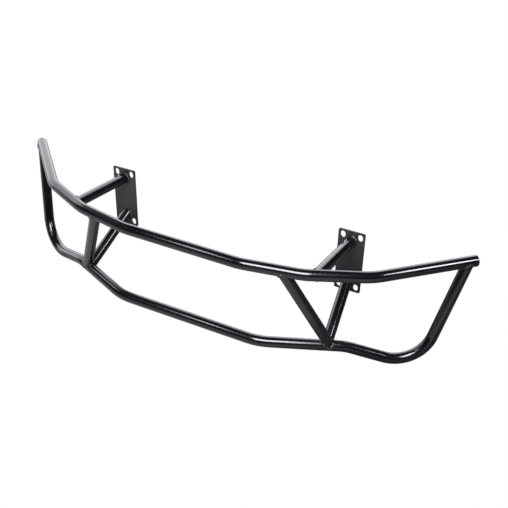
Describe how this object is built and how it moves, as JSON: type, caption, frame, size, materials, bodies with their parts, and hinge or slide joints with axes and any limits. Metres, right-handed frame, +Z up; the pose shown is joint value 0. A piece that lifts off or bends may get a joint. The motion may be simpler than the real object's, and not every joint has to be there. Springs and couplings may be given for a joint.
{
  "type": "front grille guard",
  "caption": "Tubular front grille guard: two bent rails joined by slanted struts, on two-legged brackets with slotted mounting plates, all in black powder coat.",
  "frame": {"origin": "midway between the two mounting plates, on the plane of their backs, level with the middle of their slots", "axes": "+X to the viewer's right facing the guard, +Y back towards the vehicle, +Z up as fitted"},
  "size_m": [1.7716, 0.4169, 0.3959],
  "materials": {
    "black_powder_coat": "gloss black powder coat over steel tube",
    "coated_plate": "black powder coat over flat steel plate, a little flatter than on the tube",
    "coated_weld": "black powder coat over weld bead ripples",
    "plug_plastic": "moulded black polyethylene, satin"
  },
  "bodies": {
    "root": {"upper_rail": "black_powder_coat", "lower_rail": "black_powder_coat", "left_mounting_plate": "coated_plate", "left_strut": "black_powder_coat", "left_upper_stay": "black_powder_coat", "left_lower_stay": "black_powder_coat", "left_strut_top_weld": "coated_weld", "left_rail_end_weld": "coated_weld", "left_upper_stay_rail_weld": "coated_weld", "left_strut_foot_weld": "coated_weld", "left_lower_stay_rail_weld": "coated_weld", "left_upper_stay_plate_weld": "coated_weld", "left_lower_stay_plate_weld": "coated_weld", "left_end_plug": "plug_plastic", "right_mounting_plate": "coated_plate", "right_strut": "black_powder_coat", "right_upper_stay": "black_powder_coat", "right_lower_stay": "black_powder_coat", "right_strut_top_weld": "coated_weld", "right_rail_end_weld": "coated_weld", "right_upper_stay_rail_weld": "coated_weld", "right_strut_foot_weld": "coated_weld", "right_lower_stay_rail_weld": "coated_weld", "right_upper_stay_plate_weld": "coated_weld", "right_lower_stay_plate_weld": "coated_weld", "right_end_plug": "plug_plastic"}
  },
  "joints": []
}
